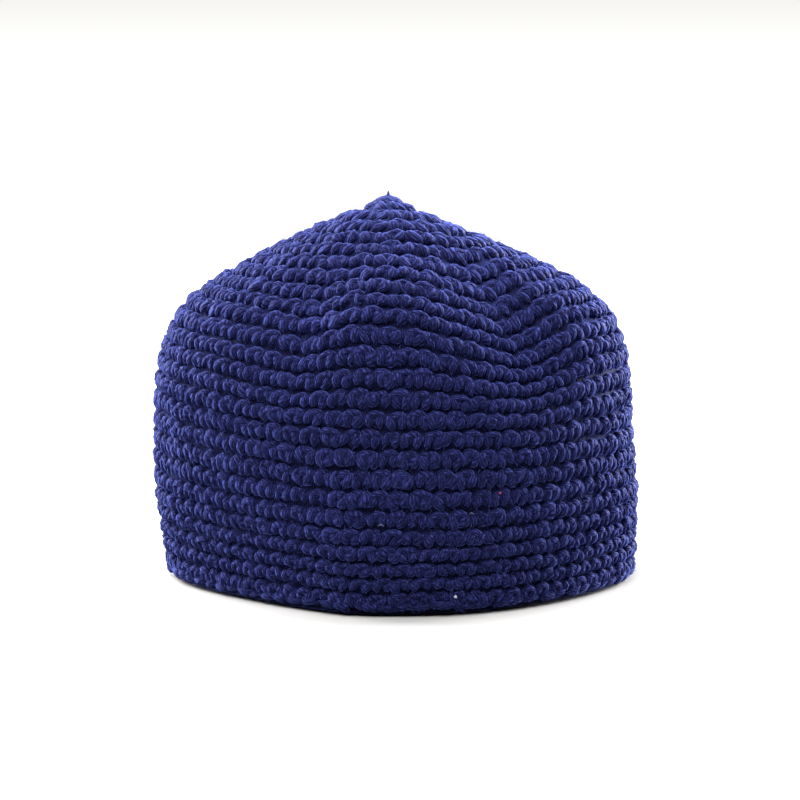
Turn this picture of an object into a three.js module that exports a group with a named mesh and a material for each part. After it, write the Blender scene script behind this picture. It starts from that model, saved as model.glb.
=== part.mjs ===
// A kufi: a pointed skullcap crocheted in one piece from thick navy yarn.
// It is worked in rounds from a small closed tip, widens over a sloping crown, turns over a soft
// shoulder and goes down as a nearly upright wall to an open rim. It stands on that rim.
// Millimetres, +Z up, the front of the cap towards -Y, the origin in the middle of the rim's rest plane.

import * as THREE from 'three';
import { mergeVertices } from 'three/addons/utils/BufferGeometryUtils.js';

// Driving dimensions
const CAP_WIDTH = 182;          // widest, left to right, over the fabric
const FRONT_REACH = 71;         // middle of the cap to the front of the wall
const BACK_REACH = 71;          // middle of the cap to the back of the wall
const CAP_HEIGHT = 146;         // rim to tip
const FABRIC_THICKNESS = 5.5;   // one layer of chunky crochet, over the ribs
const RIB_DEPTH = 1.6;          // how far the groove between two rounds lies below their crests
const CREST_SHARE = 0.6;        // share of a round that its crest fills, the rest slopes to the grooves
const ROUNDS = 26;              // round heights from the tip to the rim; the last half is the chained edge
const TIP_SIDEWAYS = -3;        // the tip leans a little to the wearer's right, which is -X
const TIP_BACKWARD = 2;         // and a little back
const RIM_ROUNDING = 1.3;       // rounding of the chained edge, outside and inside
const TIP_THICKNESS = 8.8;      // fabric drawn together under the tip, measured upright
const COLUMNS = 54;             // flats around the cap

const HALF_WIDTH = CAP_WIDTH / 2;

// The shape of the cap, a row for each level along the fabric from the tip (0) to the rim (1).
// Reaches are shares of the half width (right, left) or of the front and back reach.
// Heights are shares of the cap's height, on the right, left, front and back.
const SECTIONS = [
  // along, then the reaches right, left, front, back, then the heights right, left, front, back
  [0.00, 0.00, 0.00, 0.00, 0.00, 1.000, 1.000, 1.000, 1.000],
  [0.03, 0.06, 0.06, 0.07, 0.07, 0.978, 0.978, 0.985, 0.978],
  [0.12, 0.28, 0.29, 0.32, 0.31, 0.918, 0.922, 0.944, 0.920],
  [0.23, 0.53, 0.54, 0.57, 0.57, 0.850, 0.852, 0.875, 0.838],
  [0.32, 0.72, 0.73, 0.77, 0.77, 0.790, 0.788, 0.812, 0.762],
  [0.39, 0.84, 0.85, 0.89, 0.88, 0.732, 0.738, 0.752, 0.700],
  [0.44, 0.91, 0.92, 0.94, 0.94, 0.680, 0.682, 0.690, 0.645],
  [0.54, 0.96, 0.98, 0.98, 0.99, 0.562, 0.580, 0.555, 0.545],
  [0.66, 0.98, 1.00, 1.00, 1.00, 0.395, 0.425, 0.404, 0.410],
  [0.79, 1.00, 1.00, 1.00, 1.00, 0.235, 0.250, 0.236, 0.250],
  [0.92, 1.00, 0.97, 0.99, 0.98, 0.090, 0.100, 0.092, 0.085],
  [1.00, 0.99, 0.94, 0.97, 0.96, 0.000, 0.000, 0.000, 0.000],
].map((row) => ({
  along: row[0],
  right: row[1],
  left: row[2],
  front: row[3],
  back: row[4],
  zRight: row[5],
  zLeft: row[6],
  zFront: row[7],
  zBack: row[8],
}));

// Dents, ridges and flats. Turn is in degrees from the front, positive to the right, and a fold
// spreads so many degrees to its left and right. It starts, is deepest and ends at shares along the
// fabric. Sharpness 1 is a crease and 2 a rounded flat. Its left and right edges are folded (1) or
// soft (2). Inward is a share of the half width and down a share of the height; negative values
// swell out and up.
const FOLDS = [
  {
    name: 'right shoulder crease', turn: 31, spreadLeft: 32, spreadRight: 17,
    starts: 0.15, deepest: 0.37, ends: 0.70, sharpness: 1, leftEdge: 1, rightEdge: 1,
    inward: 0.070, down: 0.074,
  },
  {
    name: 'left shoulder crease', turn: -25, spreadLeft: 15, spreadRight: 14,
    starts: 0.19, deepest: 0.42, ends: 0.64, sharpness: 1, leftEdge: 1, rightEdge: 1,
    inward: 0.044, down: 0.036,
  },
  {
    name: 'ridge beside the left crease', turn: -12, spreadLeft: 13, spreadRight: 13,
    starts: 0.23, deepest: 0.42, ends: 0.62, sharpness: 2, leftEdge: 1, rightEdge: 1,
    inward: -0.016, down: -0.010,
  },
  {
    name: 'flat of the left front wall', turn: -46, spreadLeft: 46, spreadRight: 33,
    starts: 0.46, deepest: 1.00, ends: 2.30, sharpness: 2, leftEdge: 2, rightEdge: 1,
    inward: 0.104, down: 0,
  },
  {
    name: 'flat of the right front wall', turn: 50, spreadLeft: 44, spreadRight: 42,
    starts: 0.46, deepest: 1.00, ends: 2.30, sharpness: 2, leftEdge: 2, rightEdge: 2,
    inward: 0.060, down: 0,
  },
];
const TIP_LEAN_ENDS = 0.42;     // share along the fabric where the tip's lean has faded out

// Short steps that give the slope of the fabric, as a share along it and in degrees around it
const ALONG_STEP = 0.01;
const TURN_STEP = 2;

const smoothStep = (share) => share * share * (3 - 2 * share);
const clampShare = (value) => Math.min(Math.max(value, 0), 1);

// A column of SECTIONS read at any place along the fabric, by a cubic through its rows.
function sectionValue(column, along) {
  const last = SECTIONS.length - 1;
  let row = 0;
  while (row < last - 1 && along > SECTIONS[row + 1].along) row += 1;
  const slopeAt = (index) => {
    const before = SECTIONS[Math.max(index - 1, 0)];
    const after = SECTIONS[Math.min(index + 1, last)];
    return (after[column] - before[column]) / (after.along - before.along);
  };
  const start = SECTIONS[row];
  const end = SECTIONS[row + 1];
  const span = end.along - start.along;
  const share = (along - start.along) / span;
  const blend = smoothStep(share);
  const leaving = share * (1 - share) * (1 - share) * span * slopeAt(row);
  const arriving = share * share * (share - 1) * span * slopeAt(row + 1);
  return start[column] * (1 - blend) + end[column] * blend + leaving + arriving;
}

// How strongly a fold acts at a place on the fabric, from 0 to 1.
function foldStrength(fold, turn, along) {
  const offset = ((turn - fold.turn + 540) % 360) - 180;
  const spread = offset < 0 ? fold.spreadLeft : fold.spreadRight;
  const edge = offset < 0 ? fold.leftEdge : fold.rightEdge;
  const across = clampShare(1 - Math.abs(offset / spread) ** fold.sharpness) ** edge;
  const fade = along < fold.deepest
    ? (fold.deepest - along) / (fold.deepest - fold.starts)
    : (along - fold.deepest) / (fold.ends - fold.deepest);
  return across * (1 - smoothStep(clampShare(fade)));
}

// The crest surface of the fabric: turn in degrees from the front, along from the tip to the rim.
function fabricPoint(turn, along) {
  const angle = THREE.MathUtils.degToRad(turn);
  const rightward = Math.sin(angle);
  const backward = -Math.cos(angle);
  const side = rightward >= 0 ? 'Right' : 'Left';
  const end = backward < 0 ? 'Front' : 'Back';
  const sideReach = sectionValue(side.toLowerCase(), along) * HALF_WIDTH;
  const endReach = sectionValue(end.toLowerCase(), along) * (backward < 0 ? FRONT_REACH : BACK_REACH);
  const sideHeight = sectionValue(`z${side}`, along) * rightward ** 2;
  const endHeight = sectionValue(`z${end}`, along) * backward ** 2;
  const lean = smoothStep(clampShare(1 - along / TIP_LEAN_ENDS));
  let reachShare = 1;
  let drop = 0;
  for (const fold of FOLDS) {
    const strength = foldStrength(fold, turn, along);
    reachShare -= fold.inward * strength;
    drop += fold.down * strength;
  }
  return new THREE.Vector3(
    sideReach * rightward * reachShare + TIP_SIDEWAYS * lean,
    endReach * backward * reachShare + TIP_BACKWARD * lean,
    (sideHeight + endHeight - drop) * CAP_HEIGHT,
  );
}

// The direction straight out of the fabric, from two short steps on its surface.
function fabricOutward(turn, along) {
  const near = Math.max(along, 2 * ALONG_STEP);
  const before = fabricPoint(turn, near - ALONG_STEP);
  const after = fabricPoint(turn, Math.min(near + ALONG_STEP, 1));
  const left = fabricPoint(turn - TURN_STEP, near);
  const right = fabricPoint(turn + TURN_STEP, near);
  return after.sub(before).cross(right.sub(left)).normalize();
}

// The cut through the wall, from the tip outside, over the rim, to the tip inside.
// Each stop is a place along the fabric and a depth below the crest surface. A round's crest is in
// its middle and the groove to the next round half a round below, so the chained edge gets half a round.
function wallSection() {
  const stops = [];
  const roundShare = 1 / ROUNDS;
  const crestHalf = (CREST_SHARE / 2) * roundShare;
  for (let round = 1; round < ROUNDS; round += 1) {
    stops.push({ along: round * roundShare - crestHalf, depth: 0 });
    stops.push({ along: round * roundShare + crestHalf, depth: 0 });
    stops.push({ along: (round + 0.5) * roundShare, depth: RIB_DEPTH });
  }
  const edgeLift = RIM_ROUNDING / CAP_HEIGHT;
  stops.push({ along: 1 - crestHalf, depth: 0 });
  stops.push({ along: 1 - edgeLift, depth: 0 });
  stops.push({ along: 1, depth: RIM_ROUNDING, onFloor: true });
  stops.push({ along: 1, depth: FABRIC_THICKNESS - RIM_ROUNDING, onFloor: true });
  stops.push({ along: 1 - edgeLift, depth: FABRIC_THICKNESS });
  for (let round = ROUNDS - 1; round >= 1; round -= 1) {
    stops.push({ along: round * roundShare, depth: FABRIC_THICKNESS });
  }
  return stops;
}

// The place of one stop of the wall section at a turn around the cap.
function wallPoint(turn, stop) {
  const outward = fabricOutward(turn, stop.along);
  if (stop.onFloor) outward.setZ(0).normalize();
  const point = fabricPoint(turn, stop.along).addScaledVector(outward, -stop.depth);
  if (stop.onFloor) point.z = 0;
  return point;
}

function crochetedCapGeometry() {
  const stops = wallSection();
  const outerTip = fabricPoint(0, 0);
  const innerTip = outerTip.clone().setZ(CAP_HEIGHT - TIP_THICKNESS);
  // The lathe only lays out the rows and columns; each vertex is then set on the fabric.
  const profile = [new THREE.Vector2(0, 0)];
  stops.forEach((stop, index) => profile.push(new THREE.Vector2(1, index + 1)));
  profile.push(new THREE.Vector2(0, stops.length + 1));
  const geometry = new THREE.LatheGeometry(profile, COLUMNS);
  const position = geometry.getAttribute('position');
  const rowCount = profile.length;
  for (let vertex = 0; vertex < position.count; vertex += 1) {
    const column = Math.floor(vertex / rowCount) % COLUMNS;
    const row = vertex % rowCount;
    const turn = 180 - (360 / COLUMNS) * column;
    let point = outerTip;
    if (row === rowCount - 1) point = innerTip;
    else if (row > 0) point = wallPoint(turn, stops[row - 1]);
    position.setXYZ(vertex, point.x, point.y, point.z);
  }
  geometry.deleteAttribute('normal');
  geometry.deleteAttribute('uv');
  const merged = mergeVertices(geometry, 1e-4);
  merged.computeVertexNormals();
  return merged;
}

const navyYarn = new THREE.MeshStandardMaterial({ color: '#262a5a', roughness: 0.9, metalness: 0 });

const crochetedCap = new THREE.Mesh(crochetedCapGeometry(), navyYarn);
crochetedCap.name = 'crocheted_cap';

const kufi = new THREE.Group();
kufi.add(crochetedCap);

export default kufi;
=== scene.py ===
"""The looks of a pointed kufi, crocheted in rounds from plied navy acrylic yarn, on a white surface."""
import math

import bmesh
import bpy
import numpy as np
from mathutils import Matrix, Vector


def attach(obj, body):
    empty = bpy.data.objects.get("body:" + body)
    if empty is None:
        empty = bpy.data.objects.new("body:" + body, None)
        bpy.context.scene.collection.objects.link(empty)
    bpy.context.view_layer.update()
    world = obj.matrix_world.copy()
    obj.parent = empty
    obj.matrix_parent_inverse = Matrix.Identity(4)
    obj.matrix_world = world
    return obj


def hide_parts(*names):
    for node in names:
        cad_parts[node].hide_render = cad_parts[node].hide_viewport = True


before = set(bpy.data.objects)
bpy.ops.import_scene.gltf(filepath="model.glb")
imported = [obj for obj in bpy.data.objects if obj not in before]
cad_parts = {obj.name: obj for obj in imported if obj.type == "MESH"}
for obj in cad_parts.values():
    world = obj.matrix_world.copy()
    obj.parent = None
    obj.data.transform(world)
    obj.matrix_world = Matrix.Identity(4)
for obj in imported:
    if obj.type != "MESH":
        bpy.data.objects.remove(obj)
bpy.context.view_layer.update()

MM = 0.001

# The cap's shape, in millimetres, with the front towards -Y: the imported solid's sizes and sections
CAP_WIDTH = 182
FRONT_REACH = 71
BACK_REACH = 71
CAP_HEIGHT = 146
ROUNDS = 26                 # round heights from the tip to the rim; the last half is the chained edge
TIP_SIDEWAYS = -3           # how far the tip leans
TIP_BACKWARD = 2
TIP_LEAN_ENDS = 0.42        # where that lean has faded out, as a share of the way to the rim
HALF_WIDTH = CAP_WIDTH / 2

# A row for each level along the fabric from the tip (0) to the rim (1). Reaches are shares of the
# half width or of the front and back reach, and heights are shares of the cap's height.
SECTION_COLUMNS = ("along", "right", "left", "front", "back", "z_right", "z_left", "z_front", "z_back")
SECTION_ROWS = (
    (0.00, 0.00, 0.00, 0.00, 0.00, 1.000, 1.000, 1.000, 1.000),
    (0.03, 0.06, 0.06, 0.07, 0.07, 0.978, 0.978, 0.985, 0.978),
    (0.12, 0.28, 0.29, 0.32, 0.31, 0.918, 0.922, 0.944, 0.920),
    (0.23, 0.53, 0.54, 0.57, 0.57, 0.850, 0.852, 0.875, 0.838),
    (0.32, 0.72, 0.73, 0.77, 0.77, 0.790, 0.788, 0.812, 0.762),
    (0.39, 0.84, 0.85, 0.89, 0.88, 0.732, 0.738, 0.752, 0.700),
    (0.44, 0.91, 0.92, 0.94, 0.94, 0.680, 0.682, 0.690, 0.645),
    (0.54, 0.96, 0.98, 0.98, 0.99, 0.562, 0.580, 0.555, 0.545),
    (0.66, 0.98, 1.00, 1.00, 1.00, 0.395, 0.425, 0.404, 0.410),
    (0.79, 1.00, 1.00, 1.00, 1.00, 0.235, 0.250, 0.236, 0.250),
    (0.92, 1.00, 0.97, 0.99, 0.98, 0.090, 0.100, 0.092, 0.085),
    (1.00, 0.99, 0.94, 0.97, 0.96, 0.000, 0.000, 0.000, 0.000),
)
SECTIONS = dict(zip(SECTION_COLUMNS, np.array(SECTION_ROWS).T))

# Dents, ridges and flats. Turn and spreads are in degrees, the rest are shares as in the rows above.
# Sharpness 1 is a crease and 2 a rounded flat. An edge is folded (1) or soft (2). The flats are the
# solid's and the rest is close to it: the right crease lies a few degrees further right, with a hollow
# beside it, the left crease is wider and shallower, and the ridge beside that is lower.
FOLDS = (
    dict(name="right shoulder crease", turn=34, spread_left=30, spread_right=18,
         starts=0.15, deepest=0.38, ends=0.66, sharpness=1, left_edge=1, right_edge=1,
         inward=0.062, down=0.078),
    dict(name="hollow right of the crease", turn=41, spread_left=7, spread_right=24,
         starts=0.12, deepest=0.34, ends=0.60, sharpness=1, left_edge=1, right_edge=1,
         inward=0.030, down=0.012),
    dict(name="left shoulder crease", turn=-24, spread_left=26, spread_right=14,
         starts=0.19, deepest=0.42, ends=0.64, sharpness=1, left_edge=1, right_edge=1,
         inward=0.036, down=0.036),
    dict(name="ridge beside the left crease", turn=-12, spread_left=13, spread_right=13,
         starts=0.23, deepest=0.42, ends=0.62, sharpness=2, left_edge=1, right_edge=1,
         inward=-0.013, down=-0.006),
    dict(name="flat of the left front wall", turn=-46, spread_left=46, spread_right=33,
         starts=0.46, deepest=1.00, ends=2.30, sharpness=2, left_edge=2, right_edge=1,
         inward=0.104, down=0),
    dict(name="flat of the right front wall", turn=50, spread_left=44, spread_right=42,
         starts=0.46, deepest=1.00, ends=2.30, sharpness=2, left_edge=2, right_edge=2,
         inward=0.060, down=0),
)

# Crochet, with its sizes in millimetres and its rounds numbered from the tip
WALL_STITCHES = 75          # stitches in each round of the wall
INCREASES = 6               # stitches that each round of the crown adds
STITCH_PITCH = 6.85         # one stitch of the wall, across
ROUND_HEIGHT = 7.0          # one round, up the fabric
CROWN_SLIM = 0.04           # share by which each round is slimmer at the tip, which opens the grooves
CROWN_SLIM_ENDS = 0.62      # where that has faded out, as a share of the way to the rim
CROWN_SLIM_FADE = 0.2       # and over which share it fades
ROUND_MIDDLE = 0.45         # the height in a round that the slimming leaves in place
ROUND_SHIFT = -0.20         # share of a stitch by which each round sits left of the one above
WALL_RISE = 1.2             # how far the bends of yarn stand out past the solid's crests
CROWN_RISE = 0.4
RISE_STARTS = 0.36          # from the crown's rise to the wall's, as shares of the way to the rim
RISE_ENDS = 0.62
DYE_SPREAD = 0.5            # how unevenly the stitches took the dye
SEED = 26
RIM_SEED = SEED + 90
FUZZ_SEED = SEED + 70

# The core of the stitches, with its depths below the solid's crests
GROUND_DEPTH = 0.9          # its ridges outside
GROOVE_DEPTH = 2.8          # its grooves between two rounds
RIDGE_SHARPNESS = 1.8       # above 1, so that its ridges are narrower than its grooves
TIP_GROOVE_DEPTH = 1.5      # its grooves at the tip, where the stitches are tight
TIP_GROOVE_ENDS = 0.17      # where they reach their full depth, as a share of the way to the rim
GROUND_INNER_DEPTH = 3.3    # its plain inner face
INNER_TIP_DEPTH = 1.5 * GROUND_INNER_DEPTH
GROUND_LIFT = 0.9           # about how far above the surface it ends
GROUND_COLUMNS = 180        # columns of faces around it
GROUND_STEPS = 6            # rows of faces in each round

# The rim turns under to the surface, and lies in shade there
RIM_SHADE_STARTS = 0.985    # on the core, as a share of the way to the rim
RIM_SHADE_HEIGHT = 2.4      # on the chained edge, the height under which the shade starts
RIM_SHADE_FADE = 0.8        # and the height over which it fades in
RIM_SHADE_DEPTH = 3.8       # as dark as this depth in the fabric

# A lobe is one visible bend of the yarn
LOBE_SIDES = 7              # few faces, because each lobe is repeated over a thousand times
LOBE_STEPS = 6
LOBE_TAPER = 0.62           # 1 tapers a lobe like an egg, and 0 keeps it as wide to its ends
LOBE_CORNERS = LOBE_SIDES * (LOBE_STEPS - 1) + 2

# How unevenly the yarn lies: spreads in millimetres, degrees or shares of a size, for groups of
# vertices as large as a lobe, for whole stitches and for the plies of each lobe
LOBE_SHIFT = 0.26
LOBE_TURN = 12.0
LOBE_SIZE = 0.08
LOBE_SINK = 0.24
STITCH_SHIFT = 0.30
STITCH_LEAN = 0.11
PLY_TURN = 18.0
ROUND_WANDER = 0.25         # the rounds rise and fall by a sum of waves
WANDER_WAVES = 6
WAVES_AROUND = (2, 14)      # fewest waves around the cap, and one more than the most
WAVES_DOWN = 9              # most waves from the tip to the rim

# The rounds hang a little lower than even spacing, most of all at the right of the front
SAG = 1.6                   # millimetres, on average around the cap
SAG_SHARE = 0.7             # the share of that by which it grows and shrinks around the cap
SAG_TURN = 50               # where it is the most, in degrees from the front
SAG_ENDS = ((0.05, 0.16), (0.84, 0.98))     # where it fades in and out, as shares of the way to the rim


def smooth_step(share):
    return share * share * (3 - 2 * share)


def section_value(column, along):
    """A column of the section rows read at any place along the fabric, by a cubic through its rows."""
    stops = SECTIONS["along"]
    values = SECTIONS[column]
    last = len(stops) - 1
    row = np.clip(np.searchsorted(stops, along, side="right") - 1, 0, last - 1)
    before = np.maximum(np.arange(last + 1) - 1, 0)
    after = np.minimum(np.arange(last + 1) + 1, last)
    slopes = (values[after] - values[before]) / (stops[after] - stops[before])
    span = stops[row + 1] - stops[row]
    share = (along - stops[row]) / span
    blend = smooth_step(share)
    leaving = share * (1 - share) ** 2 * span * slopes[row]
    arriving = share**2 * (share - 1) * span * slopes[row + 1]
    return values[row] * (1 - blend) + values[row + 1] * blend + leaving + arriving


def fold_strength(fold, turn, along):
    """How strongly a fold acts at a place on the fabric, from 0 to 1."""
    offset = (turn - fold["turn"] + 540) % 360 - 180
    leftward = offset < 0
    spread = np.where(leftward, fold["spread_left"], fold["spread_right"])
    edge = np.where(leftward, fold["left_edge"], fold["right_edge"])
    across = np.clip(1 - np.abs(offset / spread) ** fold["sharpness"], 0, 1) ** edge
    rising = (fold["deepest"] - along) / (fold["deepest"] - fold["starts"])
    falling = (along - fold["deepest"]) / (fold["ends"] - fold["deepest"])
    return across * (1 - smooth_step(np.clip(np.where(rising > 0, rising, falling), 0, 1)))


def fabric_point(turn, along):
    """The crest surface of the fabric, in millimetres: turn in degrees from the front, positive to the
    right, and along from the tip (0) to the rim (1)."""
    rightward = np.sin(np.radians(turn))
    backward = -np.cos(np.radians(turn))
    is_right = rightward >= 0
    is_front = backward < 0
    side_reach = np.where(is_right, section_value("right", along), section_value("left", along))
    end_reach = np.where(is_front, section_value("front", along) * FRONT_REACH,
                         section_value("back", along) * BACK_REACH)
    side_height = np.where(is_right, section_value("z_right", along), section_value("z_left", along))
    end_height = np.where(is_front, section_value("z_front", along), section_value("z_back", along))
    lean = smooth_step(np.clip(1 - along / TIP_LEAN_ENDS, 0, 1))
    reach_share = 1.0
    drop = 0.0
    for fold in FOLDS:
        strength = fold_strength(fold, turn, along)
        reach_share = reach_share - fold["inward"] * strength
        drop = drop + fold["down"] * strength
    height = side_height * rightward**2 + end_height * backward**2 - drop
    return np.stack([
        side_reach * HALF_WIDTH * rightward * reach_share + TIP_SIDEWAYS * lean,
        end_reach * backward * reach_share + TIP_BACKWARD * lean,
        height * CAP_HEIGHT,
    ], axis=-1)


def fabric_outward(turn, along, along_step=0.01, turn_step=2.0):
    """The direction straight out of the fabric, from two short steps on its surface."""
    near = np.maximum(along, 2 * along_step)
    down = fabric_point(turn, np.minimum(near + along_step, 1)) - fabric_point(turn, near - along_step)
    right = fabric_point(turn + turn_step, near) - fabric_point(turn - turn_step, near)
    outward = np.cross(down, right)
    return outward / np.linalg.norm(outward, axis=-1, keepdims=True)


def on_fabric(turn, along, height):
    """Places on the fabric, in metres, at a height in millimetres above its crest surface."""
    along = np.clip(along, 0, 1)
    point = fabric_point(turn, along) + fabric_outward(turn, along) * height[..., None]
    point[..., 2] = np.maximum(point[..., 2], 0)
    return point * MM


def round_place(turn, along):
    """Where the rounds lie, as a share of the way to the rim: sagged, and a little uneven."""
    (tip, crown), (wall, rim) = SAG_ENDS
    hold = smooth_step(np.clip((along - tip) / (crown - tip), 0, 1))
    hold = hold * smooth_step(np.clip((rim - along) / (rim - wall), 0, 1))
    sag = SAG * hold * (1 + SAG_SHARE * np.cos(np.radians(turn - SAG_TURN)))
    drift = wander(turn, along, np.random.default_rng(SEED)) * ROUND_WANDER
    return along + (sag + drift) / ROUND_HEIGHT / ROUNDS


def rise_at(along):
    """How far the yarn stands out past the solid's crests, in millimetres."""
    share = smooth_step(np.clip((along - RISE_STARTS) / (RISE_ENDS - RISE_STARTS), 0, 1))
    return CROWN_RISE + (WALL_RISE - CROWN_RISE) * share


def stitches_in(round_number):
    return min(INCREASES * round_number, WALL_STITCHES)


def finished(name, mesh):
    """The mesh data of a mesh that was being built."""
    data = bpy.data.meshes.new(name)
    mesh.to_mesh(data)
    mesh.free()
    return data


def in_scene(name, data):
    """A new object, at the origin of the scene."""
    piece = bpy.data.objects.new(name, data)
    bpy.context.scene.collection.objects.link(piece)
    return piece


def round_off(mesh):
    """Turns the faces outward and shades them smoothly."""
    bmesh.ops.recalc_face_normals(mesh, faces=mesh.faces)
    for face in mesh.faces:
        face.smooth = True


def lay_lobe(mesh, start, end, bow, width, thickness, ply_angle):
    """One visible bend of the yarn in a flat swatch: a closed, tapered lobe from start to end.
    The swatch is in millimetres, x across the fabric, y up it and z out of it."""
    made = bmesh.ops.create_uvsphere(
        mesh, u_segments=LOBE_SIDES, v_segments=LOBE_STEPS, radius=1, calc_uvs=True)
    start, end, bow = Vector(start), Vector(end), Vector(bow)
    out = Vector((0, 0, 1))
    for vert in made["verts"]:
        around_x, around_y, level = vert.co
        share = (1 - level) / 2
        girth_share = math.hypot(around_x, around_y)
        fullness = girth_share**LOBE_TAPER / girth_share if girth_share > 1e-6 else 0
        centre = start.lerp(end, share) + bow * (4 * share * (1 - share))
        heading = (end - start + bow * (4 - 8 * share)).normalized()
        side = heading.cross(out).normalized()
        rise = side.cross(heading)
        vert.co = (centre + side * (around_x * fullness * width / 2)
                   + rise * (around_y * fullness * thickness / 2))
    # The map is in millimetres, x across the plies of the yarn and y along them.
    length = (end - start).length
    girth = math.pi * (width + thickness) / 2
    cosine, sine = math.cos(math.radians(ply_angle)), math.sin(math.radians(ply_angle))
    layer = mesh.loops.layers.uv.active
    for face in {face for vert in made["verts"] for face in vert.link_faces}:
        for loop in face.loops:
            around, along = loop[layer].uv.x * girth, loop[layer].uv.y * length
            loop[layer].uv = (around * cosine + along * sine, along * cosine - around * sine)


# The lobes of yarn that one stitch shows outside. Places are shares of the stitch pitch, from its
# middle, and of the round's height, from its lower groove. Depths are millimetres below the crests.
OUTSIDE_LOBES = (
    dict(name="left leg", start=(-0.26, 0.03), end=(-0.22, 0.76), lean=(-0.03, 0.0), width=3.5,
         thickness=3.4, start_depth=3.2, end_depth=2.4, bulge=1.0, ply_angle=32),
    dict(name="right leg", start=(0.22, 0.04), end=(0.27, 0.73), lean=(0.03, 0.0), width=3.5,
         thickness=3.4, start_depth=3.2, end_depth=2.4, bulge=1.0, ply_angle=-32),
    dict(name="loop", start=(-0.41, 0.50), end=(0.43, 0.55), lean=(0.0, 0.21), width=3.1,
         thickness=3.4, start_depth=2.9, end_depth=2.8, bulge=0.9, ply_angle=-50),
)

# The same for the inside, which shows a V for each stitch
INSIDE_LOBES = (
    dict(name="left arm of the V", start=(-0.40, 0.98), end=(-0.06, 0.02), lean=(0.0, 0.0), width=2.9,
         thickness=2.4, start_depth=3.3, end_depth=3.6, bulge=-1.0, ply_angle=-40),
    dict(name="right arm of the V", start=(0.06, 0.02), end=(0.40, 0.98), lean=(0.0, 0.0), width=2.9,
         thickness=2.4, start_depth=3.6, end_depth=3.3, bulge=-1.0, ply_angle=-40),
)


def stitch_mesh(name, lobes):
    """One stitch in the flat swatch."""
    mesh = bmesh.new()
    mesh.loops.layers.uv.new("yarn")
    for lobe in lobes:
        start = (lobe["start"][0] * STITCH_PITCH, lobe["start"][1] * ROUND_HEIGHT, -lobe["start_depth"])
        end = (lobe["end"][0] * STITCH_PITCH, lobe["end"][1] * ROUND_HEIGHT, -lobe["end_depth"])
        bow = (lobe["lean"][0] * STITCH_PITCH, lobe["lean"][1] * ROUND_HEIGHT, lobe["bulge"])
        lay_lobe(mesh, start, end, bow, lobe["width"], lobe["thickness"], lobe["ply_angle"])
    round_off(mesh)
    return finished(name, mesh)


def repeated(name, unit, copies, pitch):
    """An object with copies of a unit in a row, joined in one mesh."""
    piece = in_scene(name, unit)
    row = piece.modifiers.new("row", "ARRAY")
    row.count = copies
    row.use_relative_offset = False
    row.use_constant_offset = True
    row.constant_offset_displace = (pitch, 0, 0)
    arrayed = piece.evaluated_get(bpy.context.evaluated_depsgraph_get())
    piece.data = bpy.data.meshes.new_from_object(arrayed)
    piece.data.name = name
    piece.modifiers.clear()
    return piece


def corners_of(piece, copies):
    """The piece's vertices as an array: copy, vertex of the copy, then x, y and z."""
    corners = np.empty(len(piece.data.vertices) * 3)
    piece.data.vertices.foreach_get("co", corners)
    return corners.reshape(copies, -1, 3)


def unrolled(piece, copies, pitch):
    """The same for a row of copies, with each copy moved back to where the first one is."""
    corners = corners_of(piece, copies)
    corners[:, :, 0] -= pitch * np.arange(copies)[:, None]
    return corners


def set_corners(piece, corners):
    piece.data.vertices.foreach_set("co", corners.ravel())
    piece.data.update()


def yarn_map(piece, copies):
    """The piece's own map of the yarn as an array: copy, corner of a face, then x and y."""
    layer = piece.data.uv_layers["yarn"].uv
    places = np.empty(len(layer) * 2)
    layer.foreach_get("vector", places)
    return places.reshape(copies, -1, 2)


def set_yarn_map(piece, places):
    piece.data.uv_layers["yarn"].uv.foreach_set("vector", places.ravel())


def set_shade(piece, name, values):
    """A number on each vertex that the material reads."""
    layer = piece.data.attributes.new(name, "FLOAT", "POINT")
    layer.data.foreach_set("value", np.asarray(values, dtype=np.float32).ravel())


def wander(turn, along, rng):
    """A slow unevenness of hand work, about -1 to 1: a sum of waves around and along the fabric."""
    total = 0.0
    for _ in range(WANDER_WAVES):
        around = rng.integers(*WAVES_AROUND)
        down = rng.uniform(-WAVES_DOWN, WAVES_DOWN)
        start = rng.uniform(0, math.tau)
        total = total + np.sin(np.radians(turn) * around + along * down * math.tau + start)
    return total / math.sqrt(WANDER_WAVES)


def loosen(corners, rng):
    """Moves, turns and swells the yarn a little, as hand work does, in groups of as many vertices as a
    lobe has. The corners are an array: stitch, group, vertex of the group, then x, y and z. Blender's
    order mixes the vertices of a stitch's lobes, so this also presses the lobes a little out of shape."""
    def loose(spread):
        return rng.normal(0, spread, corners.shape[:2] + (1,)).clip(-2 * spread, 2 * spread)

    middle = corners.mean(axis=2, keepdims=True)
    arm = (corners - middle) * (1 + loose(LOBE_SIZE)[..., None])
    angle = np.radians(loose(LOBE_TURN))
    turned_x = arm[..., 0] * np.cos(angle) - arm[..., 1] * np.sin(angle)
    turned_y = arm[..., 0] * np.sin(angle) + arm[..., 1] * np.cos(angle)
    corners[..., 0] = middle[..., 0] + turned_x + loose(LOBE_SHIFT)
    corners[..., 1] = middle[..., 1] + turned_y + loose(LOBE_SHIFT)
    corners[..., 2] = middle[..., 2] + arm[..., 2] + loose(LOBE_SINK)


def turn_plies(piece, lobes, rng):
    """Turns the yarn's own map on each lobe a little, so that no two show their plies at one slant.
    A lobe's faces do follow one another in Blender's order."""
    places = yarn_map(piece, lobes)
    angle = np.radians(rng.normal(0, PLY_TURN, (lobes, 1)))
    x = places[..., 0] * np.cos(angle) - places[..., 1] * np.sin(angle)
    y = places[..., 0] * np.sin(angle) + places[..., 1] * np.cos(angle)
    set_yarn_map(piece, np.stack([x, y], axis=-1))


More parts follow.
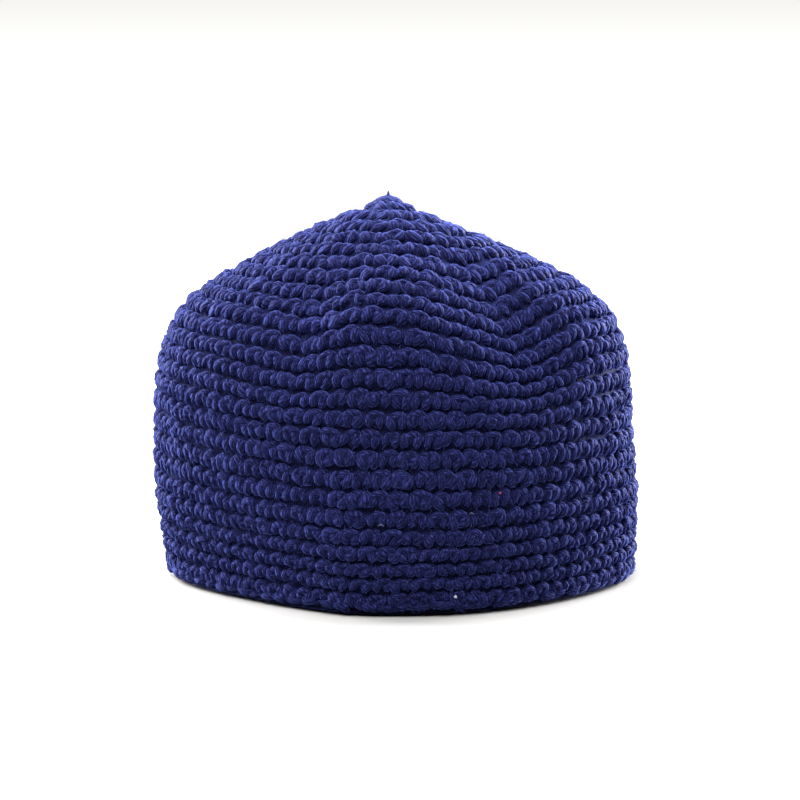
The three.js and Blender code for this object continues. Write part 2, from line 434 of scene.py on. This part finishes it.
def crochet(name, lobes, first_round, last_round, outside, seed):
    """A piece of fabric: one stitch for every place of its rounds, laid on the cap a little unevenly."""
    rounds = np.arange(first_round, last_round + 1)
    counts = np.array([stitches_in(number) for number in rounds])
    total = int(counts.sum())
    piece = repeated(name, stitch_mesh(name, lobes), total, STITCH_PITCH)
    rng = np.random.default_rng(SEED + seed)
    corners = unrolled(piece, total, STITCH_PITCH)
    loosen(corners.reshape(total, len(lobes), LOBE_CORNERS, 3), rng)
    turn_plies(piece, total * len(lobes), rng)
    stitch_round = np.repeat(rounds, counts)
    in_round = np.repeat(counts, counts)
    place = np.arange(total) - np.repeat(np.cumsum(counts) - counts, counts)
    place = place + ROUND_SHIFT * stitch_round
    lean = rng.normal(0, STITCH_LEAN, (total, 1))
    shift = rng.normal(0, STITCH_SHIFT, (total, 1))
    x = corners[:, :, 0] + lean * (corners[:, :, 1] - ROUND_HEIGHT / 2) + shift
    turn = 360 / in_round[:, None] * (place[:, None] + x / STITCH_PITCH)
    to_fade = (CROWN_SLIM_ENDS - stitch_round / ROUNDS) / CROWN_SLIM_FADE
    slim = 1 - CROWN_SLIM * smooth_step(np.clip(to_fade, 0, 1))
    in_height = ROUND_MIDDLE + (corners[:, :, 1] / ROUND_HEIGHT - ROUND_MIDDLE) * slim[:, None]
    along = (stitch_round[:, None] + 0.5 - in_height) / ROUNDS
    along = round_place(turn, along)
    rise = rise_at(along) if outside else 0
    set_corners(piece, on_fabric(turn, along, corners[:, :, 2] + rise))
    set_shade(piece, "dye", np.broadcast_to(rng.normal(0, DYE_SPREAD, (total, 1)), corners.shape[:2]))
    # the yarn's depth below the crests, which the material turns into painted shade
    set_shade(piece, "depth", -corners[:, :, 2])
    return piece


def ground_fabric():
    """The core of the stitches, which closes the fabric behind the yarn that shows: a ridge for each
    round outside, from the tip to the rim, and a plain wall inside, back to the tip."""
    levels = 2 * ROUNDS * GROUND_STEPS
    mesh = bmesh.new()
    mesh.loops.layers.uv.new("yarn")
    bmesh.ops.create_grid(mesh, x_segments=GROUND_COLUMNS, y_segments=levels, size=0.5, calc_uvs=True)
    piece = in_scene("ground_fabric", finished("ground_fabric", mesh))
    corners = corners_of(piece, 1)[0]
    turn = (corners[:, 0] + 0.5) * 360
    path = corners[:, 1] + 0.5
    outside = path <= 0.5
    along = np.where(outside, path * 2, 2 - path * 2)
    ridge = (0.5 + 0.5 * np.cos(along * ROUNDS * math.tau)) ** RIDGE_SHARPNESS
    tight = smooth_step(np.clip(1 - along / TIP_GROOVE_ENDS, 0, 1))
    groove_depth = GROOVE_DEPTH + (TIP_GROOVE_DEPTH - GROOVE_DEPTH) * tight
    depth = groove_depth + (GROUND_DEPTH - groove_depth) * ridge
    lowest = 1 - GROUND_LIFT / CAP_HEIGHT
    height = np.where(outside, -depth, -GROUND_INNER_DEPTH)
    height = np.where(along > lowest, -(GROUND_DEPTH + GROUND_INNER_DEPTH) / 2, height)
    rise = np.where(outside, rise_at(along), 0)
    placed = on_fabric(turn, np.minimum(round_place(turn, along), lowest), height + rise)
    tip = fabric_point(np.zeros(1), np.zeros(1))[0] * MM
    placed[path < 1e-6] = tip - Vector((0, 0, GROUND_DEPTH * MM))
    placed[path > 1 - 1e-6] = tip - Vector((0, 0, INNER_TIP_DEPTH * MM))
    set_corners(piece, placed)
    set_shade(piece, "dye", np.zeros(len(corners)))
    # the core's depth, which the material turns into painted shade, darkest where the rim turns under
    set_shade(piece, "depth", np.where(along > RIM_SHADE_STARTS, RIM_SHADE_DEPTH, -height))
    size = (math.tau * HALF_WIDTH, levels / GROUND_STEPS * ROUND_HEIGHT)
    set_yarn_map(piece, yarn_map(piece, 1) * size)
    mesh = bmesh.new()
    mesh.from_mesh(piece.data)
    bmesh.ops.remove_doubles(mesh, verts=mesh.verts, dist=0.01 * MM)
    round_off(mesh)
    mesh.to_mesh(piece.data)
    mesh.free()
    return piece


# The small dome that closes the tip, and the yarn's cut end that sticks up from its middle: millimetres
# sideways, backward and up from the tip, and the width there
YARN_END = (
    dict(x=0.0, y=0.0, z=-4.8, width=12.6),
    dict(x=0.0, y=0.0, z=-3.2, width=11.4),
    dict(x=0.0, y=0.0, z=-2.1, width=9.2),
    dict(x=0.0, y=0.0, z=-1.4, width=6.4),
    dict(x=0.0, y=0.0, z=-1.0, width=3.4),
    dict(x=0.1, y=0.0, z=-0.7, width=1.5),
    dict(x=0.1, y=0.0, z=0.0, width=0.9),
    dict(x=0.1, y=0.0, z=0.9, width=0.3),
)
YARN_END_SIDES = 10
YARN_END_SHADE = 0.8        # shaded as if this deep in the fabric
YARN_END_GIRTH = 1.5        # the radius that its map is made for
YARN_END_TWIST = 0.7        # how steeply its plies wind up
PALE_FROM = -2.4            # the height over the tip where the fraying makes the yarn's end paler
PALE_FULL = 0.6
PALE_DYE = 8.0


def yarn_end():
    """The cut and frayed end of the yarn that was drawn through the first stitches, on their dome."""
    mesh = bmesh.new()
    layer = mesh.loops.layers.uv.new("yarn")
    tip = fabric_point(np.zeros(1), np.zeros(1))[0]
    rings = []
    for row in YARN_END:
        ring = bmesh.ops.create_circle(mesh, segments=YARN_END_SIDES, radius=row["width"] / 2)["verts"]
        bmesh.ops.translate(mesh, vec=Vector(tip) + Vector((row["x"], row["y"], row["z"])), verts=ring)
        rings.append(list({edge for vert in ring for edge in vert.link_edges}))
    for lower, upper in zip(rings, rings[1:]):
        bmesh.ops.bridge_loops(mesh, edges=lower + upper)
    bmesh.ops.holes_fill(mesh, edges=rings[0] + rings[-1])
    round_off(mesh)
    for loop in (loop for face in mesh.faces for loop in face.loops):
        x, y, z = loop.vert.co
        angle = math.atan2(y - tip[1], x - tip[0])
        loop[layer].uv = (angle * YARN_END_GIRTH + z * YARN_END_TWIST, z)
    bmesh.ops.scale(mesh, vec=(MM, MM, MM), verts=mesh.verts)
    piece = in_scene("yarn_end", finished("yarn_end", mesh))
    height = corners_of(piece, 1)[0][:, 2] / MM - tip[2]
    frayed = np.clip((height - PALE_FROM) / (PALE_FULL - PALE_FROM), 0, 1)
    set_shade(piece, "dye", frayed * PALE_DYE)
    set_shade(piece, "depth", np.full(len(height), YARN_END_SHADE))
    return piece


# Each link of the chained edge: the outer and the inner arm. Places as in the stitch tables, with the
# height in millimetres up from the rim.
RIM_ARMS = (
    dict(start=(-0.66, 3.3), end=(0.66, 4.1), start_depth=2.6, end_depth=2.0, bulge=0.7,
         width=3.5, thickness=3.3),
    dict(start=(-0.80, 1.5), end=(0.80, 1.9), start_depth=3.9, end_depth=4.6, bulge=-0.2,
         width=3.2, thickness=2.6),
)
RIM_PLY_ANGLE = -35
RIM_TURN = 0.3              # share of a link by which the chain sits right of the stitches
RIM_SHIFT = 0.12            # how unevenly the links sit, as a share of a link
RIM_DYE = 3                 # and how much of that shows as uneven dye
LOW_WALL_HEIGHT = 0.09      # the wall's last rows climb this share of the cap's height
LOW_WALL_ALONG = 0.08       # over this share of the way from tip to rim


def rim_chain():
    """The chained edge that the cap stands on: one link for each stitch of the last round."""
    mesh = bmesh.new()
    mesh.loops.layers.uv.new("yarn")
    for arm in RIM_ARMS:
        start = (arm["start"][0] * STITCH_PITCH, arm["start"][1], -arm["start_depth"])
        end = (arm["end"][0] * STITCH_PITCH, arm["end"][1], -arm["end_depth"])
        bow = (0, 0, arm["bulge"])
        lay_lobe(mesh, start, end, bow, arm["width"], arm["thickness"], RIM_PLY_ANGLE)
    round_off(mesh)
    piece = repeated("rim_chain", finished("rim_chain", mesh), WALL_STITCHES, STITCH_PITCH)
    corners = unrolled(piece, WALL_STITCHES, STITCH_PITCH)
    rng = np.random.default_rng(RIM_SEED)
    loosen(corners.reshape(WALL_STITCHES, len(RIM_ARMS), LOBE_CORNERS, 3), rng)
    corners[:, :, 0] += STITCH_PITCH * np.arange(WALL_STITCHES)[:, None]
    shift = rng.normal(0, RIM_SHIFT, (WALL_STITCHES, 1))
    turn = (corners[:, :, 0] / STITCH_PITCH + shift + RIM_TURN) * 360 / WALL_STITCHES
    along = 1 - corners[:, :, 1] / (CAP_HEIGHT * LOW_WALL_HEIGHT / LOW_WALL_ALONG)
    set_corners(piece, on_fabric(turn, along, corners[:, :, 2] + WALL_RISE))
    set_shade(piece, "dye", np.broadcast_to(shift * RIM_DYE, corners.shape[:2]))
    # painted shade on the chain's underside, where the rim turns under
    under = np.clip((RIM_SHADE_HEIGHT - corners[:, :, 1]) / RIM_SHADE_FADE, 0, 1)
    set_shade(piece, "depth", -corners[:, :, 2] * (1 - under) + RIM_SHADE_DEPTH * under)
    return piece


# Loose fibres that stand off the yarn, in millimetres. Pairs are the least and the most of a fibre.
FIBRES = 5600
FIBRE_THICKNESS = 0.11      # drawn about four times as coarse as a real fibre, so that it shows
FIBRE_LENGTH = 0.6          # of the shortest
FIBRE_LENGTHS = 3.4         # how much longer the longest is; most are short
FIBRE_BOW = (-0.9, 0.9)     # bent sideways
FIBRE_SEAT = (-0.8, 0.2)    # the height of its ends over the crests of the yarn
FIBRE_LOOP = (0.1, 0.6)     # how far its middle stands off more than its ends
FIBRE_TILT = (-0.3, 0.3)    # how much higher one end is than the middle
FIBRES_START = 0.0002       # the first fibres' place by the tip, as the square of the way to the rim
FIBRE_CROWN = 0.5           # the crown's share of the way from tip to rim, where rounds get wider
FIBRE_WALL = 0.49           # how far they go from there, lying evenly
LEAST_REACH = 0.05          # the least half width by which a fibre's place is measured, as a share


def yarn_fuzz():
    """Loose fibres on the outside of the yarn: thin spindles, each bowed off the surface."""
    mesh = bmesh.new()
    bmesh.ops.create_uvsphere(mesh, u_segments=3, v_segments=6, radius=0.5)
    for vert in mesh.verts:
        vert.co = Vector((vert.co.z, vert.co.x * FIBRE_THICKNESS, vert.co.y * FIBRE_THICKNESS))
    bmesh.ops.recalc_face_normals(mesh, faces=mesh.faces)
    piece = repeated("yarn_fuzz", finished("yarn_fuzz", mesh), FIBRES, 1)
    corners = unrolled(piece, FIBRES, 1)
    rng = np.random.default_rng(FUZZ_SEED)

    def each(low, high):
        return rng.uniform(low, high, (FIBRES, 1))

    along_fibre = corners[:, :, 0] * 2
    length = FIBRE_LENGTH + FIBRE_LENGTHS * each(0, 1) ** 2
    slant = np.radians(each(-180, 180))
    sideways = along_fibre * length / 2
    bowed = (1 - along_fibre**2) * each(*FIBRE_BOW)
    x = sideways * np.cos(slant) - bowed * np.sin(slant) + corners[:, :, 1]
    y = sideways * np.sin(slant) + bowed * np.cos(slant)
    lift = each(*FIBRE_SEAT) + (1 - along_fibre**2) * each(*FIBRE_LOOP) + along_fibre * each(*FIBRE_TILT)
    middle = np.sqrt(each(FIBRES_START, 1.0))
    wall_share = (middle**2 - FIBRE_CROWN**2) / (1 - FIBRE_CROWN**2)
    middle = np.where(middle > FIBRE_CROWN, FIBRE_CROWN + wall_share * FIBRE_WALL, middle)
    reach = np.maximum(section_value("front", middle), LEAST_REACH) * HALF_WIDTH
    turn = each(-180, 180) + np.degrees(x / reach)
    along = middle - y / ROUND_HEIGHT / ROUNDS
    set_corners(piece, on_fabric(turn, along, corners[:, :, 2] + lift + rise_at(along)))
    return piece


# Specks of lint that the cap has caught. Turn is in degrees, size in millimetres, and length a
# multiple of the size. Shade 0 is white, 0.5 a greyish blue and 1 red.
LINT = (
    dict(name="white speck by the rim", turn=13.4, along=0.955, size=1.0, shade=0.0, length=1.2),
    dict(name="red speck on the wall", turn=24.2, along=0.735, size=0.8, shade=1.0, length=1.0),
    dict(name="pale thread on the left of the front", turn=-3.4, along=0.79, size=0.35, shade=0.5,
         length=7),
    dict(name="pale thread on the right of the front", turn=17, along=0.77, size=0.3, shade=0.5,
         length=6),
)
LINT_HEIGHT = 1.1           # over the solid's crests, so on the surface of the yarn
LINT_RUFFLE = 0.25          # how far from round it is, as a share
LINT_WAVES = (19, 23)
LINT_DROOP = 0.15           # how far its ends hang: these millimetres times its length's multiple


def lint():
    """Small balls and threads of lint on the surface of the yarn."""
    mesh = bmesh.new()
    shades = []
    for speck in LINT:
        made = bmesh.ops.create_icosphere(mesh, subdivisions=2, radius=0.5)["verts"]
        shades += [speck["shade"]] * len(made)
        place = [np.array([value]) for value in (speck["turn"], speck["along"], LINT_HEIGHT)]
        seat = on_fabric(*place)[0]
        for vert in made:
            x, y, z = vert.co
            ruffled = 1 + LINT_RUFFLE * math.sin(x * LINT_WAVES[0]) * math.cos(z * LINT_WAVES[1])
            bowed = Vector((x * speck["length"], y, z)) * speck["size"] * ruffled
            bowed.z -= speck["length"] * LINT_DROOP * (x * 2) ** 2
            vert.co = Vector(seat) + bowed * MM
    piece = in_scene("lint", finished("lint", mesh))
    set_shade(piece, "dye", shades)
    return piece


def linear(hex_colour):
    """An sRGB hex colour as the linear values that a socket takes."""
    channels = [int(hex_colour[i:i + 2], 16) / 255 for i in (1, 3, 5)]
    return (*[c / 12.92 if c <= 0.04045 else ((c + 0.055) / 1.055) ** 2.4 for c in channels], 1.0)


def add_node(tree, kind, settings=None, inputs=None):
    """One node with its settings, and its inputs as values or as links from other nodes' outputs."""
    node = tree.nodes.new(kind)
    for key, value in (settings or {}).items():
        setattr(node, key, value)
    for key, value in (inputs or {}).items():
        if isinstance(value, bpy.types.NodeSocket):
            tree.links.new(value, node.inputs[key])
        else:
            node.inputs[key].default_value = value
    return node


def reckon(tree, operation, *values):
    """The result of one sum: MULTIPLY_ADD is the first value times the second, plus the third."""
    return add_node(tree, "ShaderNodeMath", {"operation": operation}, dict(enumerate(values))).outputs[0]


def ranged(tree, value, before, after):
    """A value's run between two numbers, turned into a run between two others."""
    return add_node(tree, "ShaderNodeMapRange", None,
                    {0: value, 1: before[0], 2: before[1], 3: after[0], 4: after[1]}).outputs[0]


def noise(tree, place, scale, detail, dimensions="3D"):
    """Soft noise from 0 to 1."""
    return add_node(tree, "ShaderNodeTexNoise", {"noise_dimensions": dimensions},
                    {"Vector": place, "Scale": scale, "Detail": detail}).outputs["Fac"]


# The yarn's pattern, in millimetres
PLY_SPACING = 0.90          # from ply to ply across the yarn, coarser than the real 0.6 so that it shows
PLY_STRAY_SCALE = 0.7       # lumps for each millimetre of the unevenness by which plies stray
PLY_STRAY = 4.0             # and how far they stray, in radians of a ply
FIBRE_SPACING = 0.42        # fibres in a ply, drawn in bundles that still show
FIBRE_STRETCH = 0.5         # bundles along the yarn for each across it
TUFT_SPACING = 1.9          # brushed tufts, which spread over a few plies
PATCH_SCALE = 0.035         # paler and darker patches for each millimetre across the cap

# How light the yarn is between its dark and its bright colour: painted shade between the plies with
# painted glints on them, and tufts
YARN_DARK = "#10112e"
YARN_BRIGHT = "#2e326c"
PLY_LIGHT = 0.95
# painted glints: the brightest flecks of the fibres on the plies
GLINT_FIBRES = (0.44, 0.68) # the part of the fibres' noise that runs from dull to bright
GLINT_LIGHT = (0.4, 1.7)
TUFT_MIDDLE = (0.32, 0.68)  # the same for the tufts
TUFT_LIGHT = (0.04, 0.30)

# What the colour is multiplied by for the fibres, the dye, the patches, and painted shade from the depth
# in the fabric
NOISE_MIDDLE = (0.3, 0.7)
FIBRE_TINT = (0.75, 1.3)
DYE_RANGE = (-1.0, 8.0)
DYE_TINT = (0.86, 2.12)
PATCH_TINT = (0.92, 1.08)
# painted shade: the deeper the yarn lies in the fabric, in grooves and gaps, the darker its colour
PAINTED_SHADE_DEPTHS = (0.2, 3.8)
PAINTED_SHADE_TINT = (1.04, 0.14)

# The yarn's fine relief, as shares of that of its plies
TUFT_RELIEF = 2.2
FIBRE_RELIEF = 0.6
RELIEF_HEIGHT = 0.16        # of the plies, in millimetres

# Loose fibres and lint: paler and darker parts and tufts for each millimetre, and the lint's relief
LOOSE_PATCH_SCALE = 0.2
LINT_TUFT_SCALE = 4
LINT_RELIEF = 0.1


def plied_acrylic_yarn():
    """Worsted acrylic yarn, several plies twisted together: matt and soft, with fine slanting lines where
    the plies meet, painted as shade between the plies with glints on them, painted shade deeper in the
    fabric, and a pale bloom of loose fibres where it is seen along its surface."""
    material = bpy.data.materials.new("plied_acrylic_yarn")
    material.use_nodes = True
    tree = material.node_tree
    tree.nodes.clear()
    place = add_node(tree, "ShaderNodeTexCoord").outputs["Object"]
    yarn_place = add_node(tree, "ShaderNodeUVMap", {"uv_map": "yarn"}).outputs["UV"]
    dye = add_node(tree, "ShaderNodeAttribute", {"attribute_name": "dye"}).outputs["Fac"]
    # depth in the fabric, read for painted shade
    depth = add_node(tree, "ShaderNodeAttribute", {"attribute_name": "depth"}).outputs["Fac"]

    across = add_node(tree, "ShaderNodeSeparateXYZ", None, {0: yarn_place}).outputs["X"]
    turns = reckon(tree, "MULTIPLY", across, math.tau / PLY_SPACING)
    unevenness = noise(tree, place, PLY_STRAY_SCALE / MM, 2.0)
    ply_wave = reckon(tree, "SINE", reckon(tree, "MULTIPLY_ADD", unevenness, PLY_STRAY, turns))
    plies = ranged(tree, ply_wave, (-1.0, 1.0), (0.0, 1.0))
    fibre_map = add_node(tree, "ShaderNodeMapping", None,
                         {"Vector": yarn_place,
                          "Scale": (1 / FIBRE_SPACING, FIBRE_STRETCH / FIBRE_SPACING, 1.0)})
    fibres = noise(tree, fibre_map.outputs[0], 1.0, 1.0, "2D")
    tufts = noise(tree, place, 1 / (TUFT_SPACING * MM), 1.0)
    patches = noise(tree, place, PATCH_SCALE / MM, 1.0)

    # painted shade between the plies and painted glints on them, in the base colour
    lit_plies = reckon(tree, "MULTIPLY", plies, ranged(tree, fibres, GLINT_FIBRES, GLINT_LIGHT))
    lit_tufts = ranged(tree, tufts, TUFT_MIDDLE, TUFT_LIGHT)
    lit = reckon(tree, "MULTIPLY_ADD", lit_plies, PLY_LIGHT, lit_tufts)
    base = add_node(tree, "ShaderNodeMix", {"data_type": "RGBA", "clamp_factor": False},
                    {"Factor": lit, 6: linear(YARN_DARK), 7: linear(YARN_BRIGHT)})
    tint = ranged(tree, fibres, NOISE_MIDDLE, FIBRE_TINT)
    # the last of these is painted shade, darker the deeper the yarn lies
    for value, before, after in ((dye, DYE_RANGE, DYE_TINT), (patches, NOISE_MIDDLE, PATCH_TINT),
                                 (depth, PAINTED_SHADE_DEPTHS, PAINTED_SHADE_TINT)):
        tint = reckon(tree, "MULTIPLY", tint, ranged(tree, value, before, after))
    colour = add_node(tree, "ShaderNodeVectorMath", {"operation": "SCALE"},
                      {0: base.outputs[2], "Scale": tint})

    lumps = reckon(tree, "MULTIPLY_ADD", tufts, TUFT_RELIEF, plies)
    relief = reckon(tree, "MULTIPLY_ADD", fibres, FIBRE_RELIEF, lumps)
    bump = add_node(tree, "ShaderNodeBump", None,
                    {"Strength": 0.9, "Distance": RELIEF_HEIGHT * MM, "Height": relief})
    shader = add_node(tree, "ShaderNodeBsdfPrincipled", None, {
        "Base Color": colour.outputs[0],
        "Roughness": 0.6,
        "IOR": 1.49,
        "Specular IOR Level": 0.04,
        "Sheen Weight": 0.88,
        "Sheen Roughness": 0.42,
        "Sheen Tint": linear("#7889f3"),
        "Normal": bump.outputs[0],
    })
    add_node(tree, "ShaderNodeOutputMaterial", None, {"Surface": shader.outputs[0]})
    return material


def loose_acrylic_fibre():
    """Single fibres of the same acrylic, which catch the light and so look paler than the yarn."""
    material = bpy.data.materials.new("loose_acrylic_fibre")
    material.use_nodes = True
    tree = material.node_tree
    place = add_node(tree, "ShaderNodeTexCoord").outputs["Object"]
    patches = noise(tree, place, LOOSE_PATCH_SCALE / MM, 1.0)
    colour = add_node(tree, "ShaderNodeMix", {"data_type": "RGBA"},
                      {"Factor": patches, 6: linear("#1c2460"), 7: linear("#747cd4")})
    shader = tree.nodes["Principled BSDF"]
    tree.links.new(colour.outputs[2], shader.inputs["Base Color"])
    shader.inputs["Roughness"].default_value = 0.6
    shader.inputs["Specular IOR Level"].default_value = 0.1
    return material


def cotton_lint():
    """Lint from other cloth: matt and fluffy, undyed white, greyish blue or red."""
    material = bpy.data.materials.new("cotton_lint")
    material.use_nodes = True
    tree = material.node_tree
    dye = add_node(tree, "ShaderNodeAttribute", {"attribute_name": "dye"})
    place = add_node(tree, "ShaderNodeTexCoord").outputs["Object"]
    tufts = noise(tree, place, LINT_TUFT_SCALE / MM, 1.0)
    colour = add_node(tree, "ShaderNodeValToRGB", None, {0: dye.outputs["Fac"]})
    stops = colour.color_ramp.elements
    stops[0].color = linear("#e6e4ee")
    stops[1].color = linear("#c0486e")
    middle = stops.new(0.5)
    middle.color = linear("#7478a0")
    bump = add_node(tree, "ShaderNodeBump", None,
                    {"Strength": 0.6, "Distance": LINT_RELIEF * MM, "Height": tufts})
    shader = tree.nodes["Principled BSDF"]
    tree.links.new(colour.outputs[0], shader.inputs["Base Color"])
    tree.links.new(bump.outputs[0], shader.inputs["Normal"])
    shader.inputs["Roughness"].default_value = 0.9
    shader.inputs["Specular IOR Level"].default_value = 0.1
    return material


FLOOR_HALF = 1.35           # half the floor's side, in metres
# painted light: the floor away from the cap glows by this much; near the cap the glow fades out, which
# paints a shadow around it
FLOOR_PAINTED_GLOW = 0.8            # how far the floor away from the cap is overexposed
PAINTED_SHADOW_REACH = (1.0, 1.9)   # where the glow starts and is full, in half widths from the middle
FLOOR_SEEN = "#c4c3c1"
FLOOR_LIGHTING = "#8c8c8b"


def white_sweep():
    """The white surface that the cap stands on. The camera sees it paler and with a painted glow away
    from the cap, so it looks overexposed; the glow fades out near the cap, which paints a shadow there
    over the real contact shadow. To the cap it is grey, and lights it little from below."""
    material = bpy.data.materials.new("white_painted_board")
    material.use_nodes = True
    tree = material.node_tree
    seen = add_node(tree, "ShaderNodeLightPath").outputs["Is Camera Ray"]
    place = add_node(tree, "ShaderNodeTexCoord").outputs["Object"]
    oval = add_node(tree, "ShaderNodeMapping", None,
                    {"Vector": place, "Scale": (1.0, HALF_WIDTH / FRONT_REACH, 1.0)})
    distance = add_node(tree, "ShaderNodeVectorMath", {"operation": "LENGTH"}, {0: oval.outputs[0]})
    # painted glow, none near the cap and full further out, which leaves a painted shadow around the cap
    away = add_node(tree, "ShaderNodeMapRange", {"interpolation_type": "SMOOTHSTEP"},
                    {0: distance.outputs["Value"], 1: PAINTED_SHADOW_REACH[0] * HALF_WIDTH * MM,
                     2: PAINTED_SHADOW_REACH[1] * HALF_WIDTH * MM, 3: 0.0, 4: FLOOR_PAINTED_GLOW})
    glow = reckon(tree, "MULTIPLY", seen, away.outputs[0])
    paint = add_node(tree, "ShaderNodeMix", {"data_type": "RGBA"},
                     {"Factor": seen, 6: linear(FLOOR_LIGHTING), 7: linear(FLOOR_SEEN)})
    shader = tree.nodes["Principled BSDF"]
    tree.links.new(paint.outputs[2], shader.inputs["Base Color"])
    shader.inputs["Roughness"].default_value = 0.9
    shader.inputs["Emission Color"].default_value = linear("#ffffff")
    tree.links.new(glow, shader.inputs["Emission Strength"])
    mesh = bmesh.new()
    bmesh.ops.create_grid(mesh, x_segments=1, y_segments=1, size=FLOOR_HALF)
    floor = in_scene("floor", finished("floor", mesh))
    floor.data.materials.append(material)


# The camera, in millimetres and degrees
CAMERA_ELEVATION = 8.5
CAMERA_DISTANCE = 1000
CAMERA_TARGET = (0, 0, 74)
CAMERA_AIM = (1.5, 0, 67.8)
CAMERA_LENS = 118.9
CAMERA_SENSOR = 36

# The softboxes, in metres and watts. Each is square and aims at the middle of the cap.
SOFTBOXES = (
    dict(name="top_softbox", place=(-0.32, -0.52, 1.16), side=1.2, power=24),
    dict(name="left_softbox", place=(-0.9, 0.55, 0.48), side=0.8, power=32),
    dict(name="right_softbox", place=(0.9, 0.62, 0.30), side=0.8, power=49),
)
SOFTBOX_AIM = (0, 0, 0.08)

# The surroundings' light by how far a direction points to the back, and the backdrop that the camera
# sees by how far it points up
LIGHT_BACKWARD = (-0.2, 0.7)
LIGHT_STRENGTH = (0.03, 1.5)
BACKDROP_FADE = (-0.032, -0.003)
BACKDROP_LOW = (1.1, 1.1, 1.1, 1.0)
BACKDROP_HIGH = "#f5f4f0"


def camera():
    """The photo's view: a long lens, a little above the cap."""
    data = bpy.data.cameras.new("camera")
    data.lens = CAMERA_LENS
    data.sensor_width = CAMERA_SENSOR
    eye = in_scene("camera", data)
    elevation = math.radians(CAMERA_ELEVATION)
    back = Vector((0, -math.cos(elevation), math.sin(elevation)))
    eye.location = (Vector(CAMERA_TARGET) + back * CAMERA_DISTANCE) * MM
    heading = Vector(CAMERA_AIM) * MM - eye.location
    eye.rotation_mode = "QUATERNION"
    eye.rotation_quaternion = heading.to_track_quat("-Z", "Y")
    bpy.context.scene.camera = eye


def softbox(name, place, side, power):
    """A large soft lamp."""
    data = bpy.data.lights.new(name, "AREA")
    data.shape = "RECTANGLE"
    data.size = data.size_y = side
    data.energy = power
    lamp = in_scene(name, data)
    lamp.location = place
    lamp.rotation_mode = "QUATERNION"
    lamp.rotation_quaternion = (Vector(SOFTBOX_AIM) - Vector(place)).to_track_quat("-Z", "Y")


def studio():
    """White surroundings, brighter behind and above the cap than in front of it, and three softboxes."""
    world = bpy.data.worlds.new("studio")
    bpy.context.scene.world = world
    world.use_nodes = True
    tree = world.node_tree
    tree.nodes.clear()
    direction = add_node(tree, "ShaderNodeTexCoord")
    parts = add_node(tree, "ShaderNodeSeparateXYZ", None, {0: direction.outputs["Generated"]})
    behind = ranged(tree, parts.outputs["Y"], LIGHT_BACKWARD, LIGHT_STRENGTH)
    lit = add_node(tree, "ShaderNodeCombineXYZ", None, {0: behind, 1: behind, 2: behind})
    upward = ranged(tree, parts.outputs["Z"], BACKDROP_FADE, (0.0, 1.0))
    backdrop = add_node(tree, "ShaderNodeMix", {"data_type": "RGBA"},
                        {"Factor": upward, 6: BACKDROP_LOW, 7: linear(BACKDROP_HIGH)})
    rays = add_node(tree, "ShaderNodeLightPath")
    seen = add_node(tree, "ShaderNodeMix", {"data_type": "RGBA"},
                    {"Factor": rays.outputs["Is Camera Ray"], 6: lit.outputs[0], 7: backdrop.outputs[2]})
    shade = add_node(tree, "ShaderNodeBackground", None, {"Color": seen.outputs[2], "Strength": 1.0})
    add_node(tree, "ShaderNodeOutputWorld", None, {"Surface": shade.outputs[0]})
    for box in SOFTBOXES:
        softbox(**box)
    bpy.context.scene.view_settings.view_transform = "Standard"


camera()
studio()
white_sweep()

yarn = plied_acrylic_yarn()
fibre = loose_acrylic_fibre()
pieces = (
    (ground_fabric(), yarn),
    (crochet("crown_rounds", OUTSIDE_LOBES, 1, 12, True, 1), yarn),
    (crochet("upper_wall_rounds", OUTSIDE_LOBES, 13, 19, True, 2), yarn),
    (crochet("lower_wall_rounds", OUTSIDE_LOBES, 20, 25, True, 3), yarn),
    (crochet("inside_crown_rounds", INSIDE_LOBES, 1, 12, False, 4), yarn),
    (crochet("inside_wall_rounds", INSIDE_LOBES, 13, 25, False, 5), yarn),
    (rim_chain(), yarn),
    (yarn_end(), yarn),
    (yarn_fuzz(), fibre),
    (lint(), cotton_lint()),
)
for piece, finish in pieces:
    piece.data.materials.clear()
    piece.data.materials.append(finish)
    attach(piece, "root")
    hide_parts("crocheted_cap")
